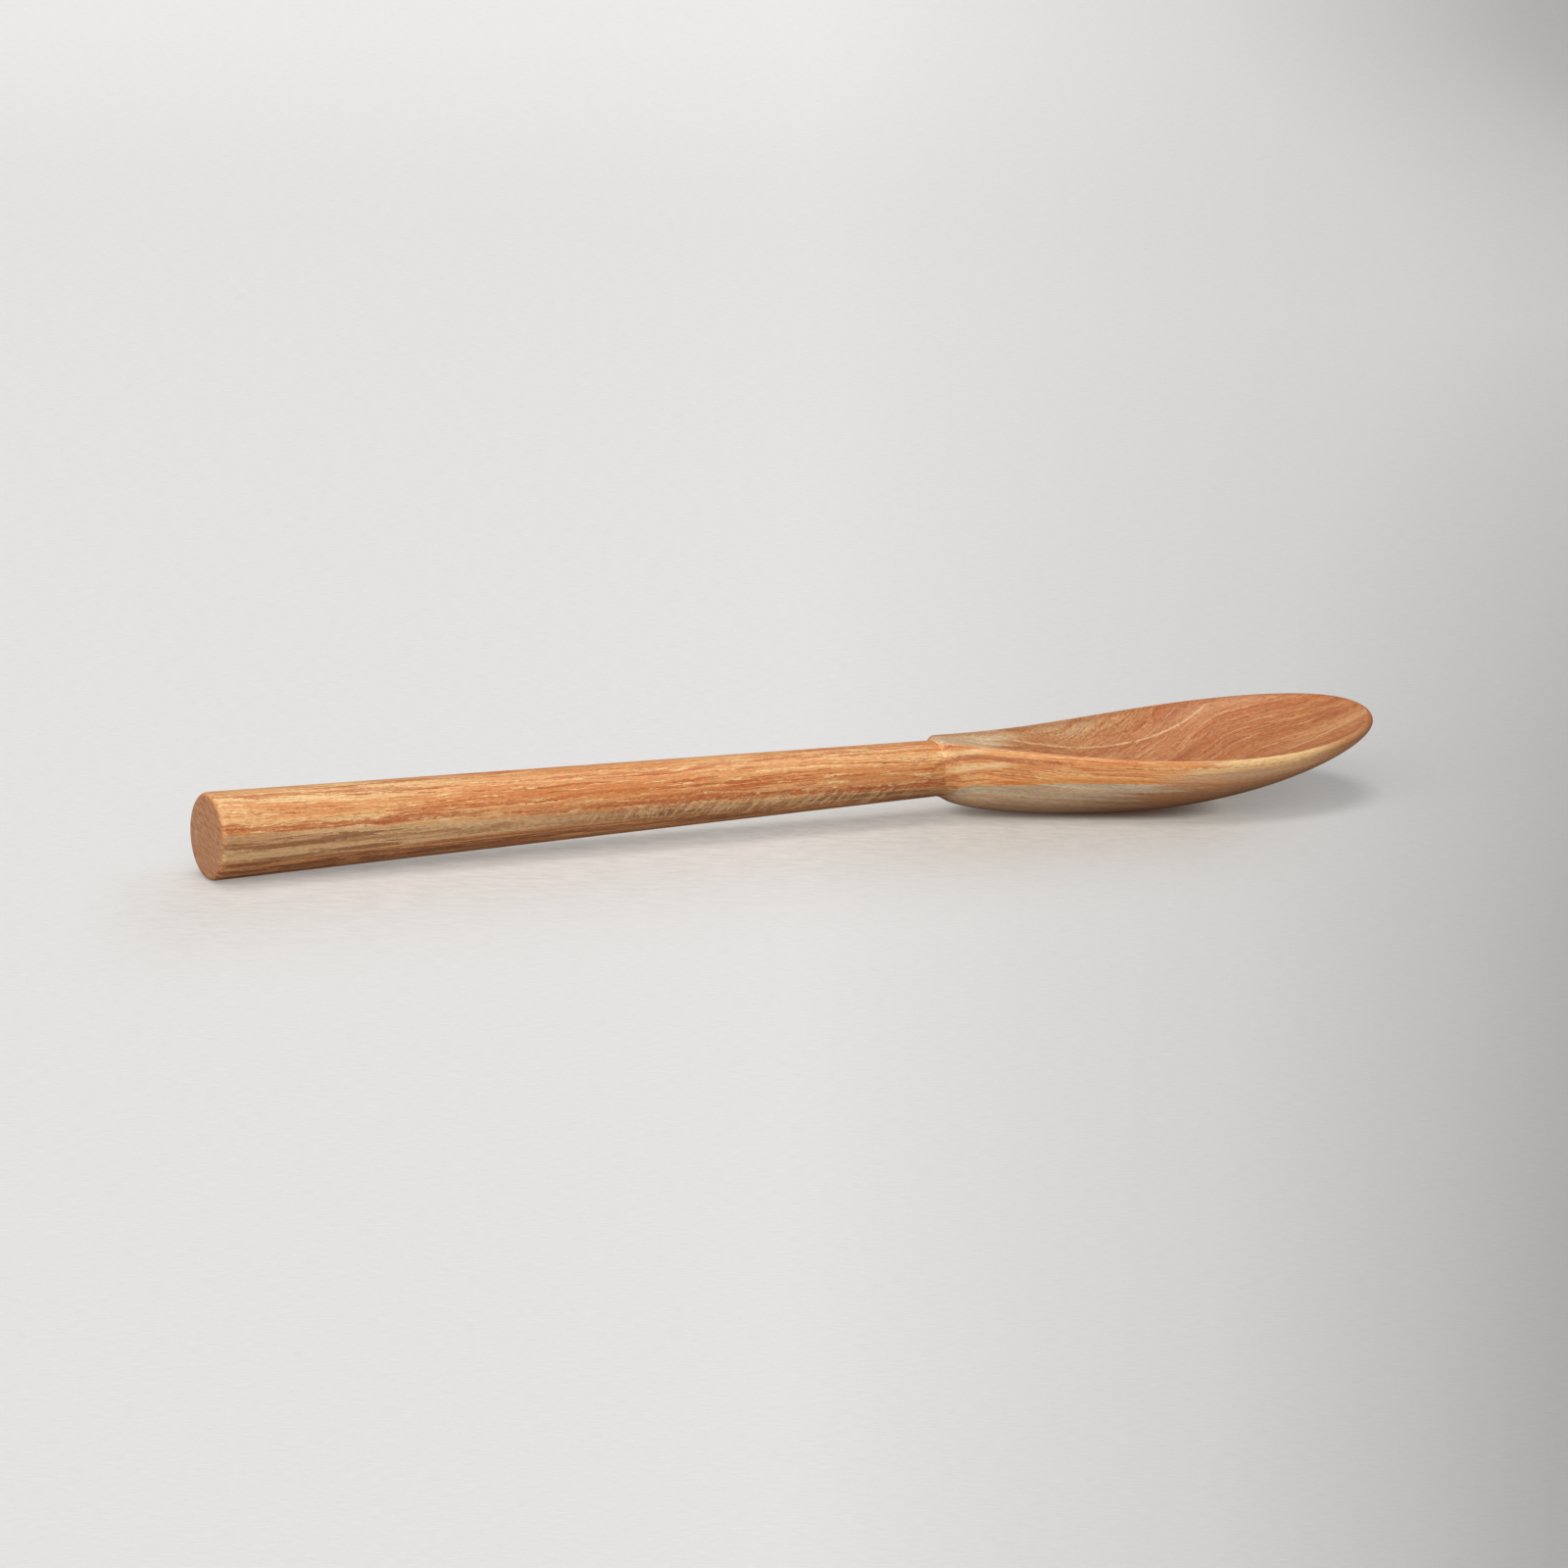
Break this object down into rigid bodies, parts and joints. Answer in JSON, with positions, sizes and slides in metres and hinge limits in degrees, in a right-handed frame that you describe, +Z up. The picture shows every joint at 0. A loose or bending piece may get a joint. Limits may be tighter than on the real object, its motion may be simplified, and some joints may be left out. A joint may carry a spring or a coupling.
{
  "type": "serving spoon",
  "caption": "Wooden serving spoon: a round tapered handle and a shallow carved bowl with a sagging rim and a raised tip.",
  "frame": {"origin": "on the surface that the spoon lies on, halfway along its length and on its centre line", "axes": "+X along the spoon from the handle's free end to the bowl's tip, +Y across the bowl, +Z up, out of the bowl's open side"},
  "size_m": [0.3, 0.06, 0.0204],
  "materials": {
    "handle_wood": "satin",
    "bowl_wood": "satin"
  },
  "bodies": {
    "root": {"handle": "handle_wood", "bowl": "bowl_wood"}
  },
  "joints": []
}
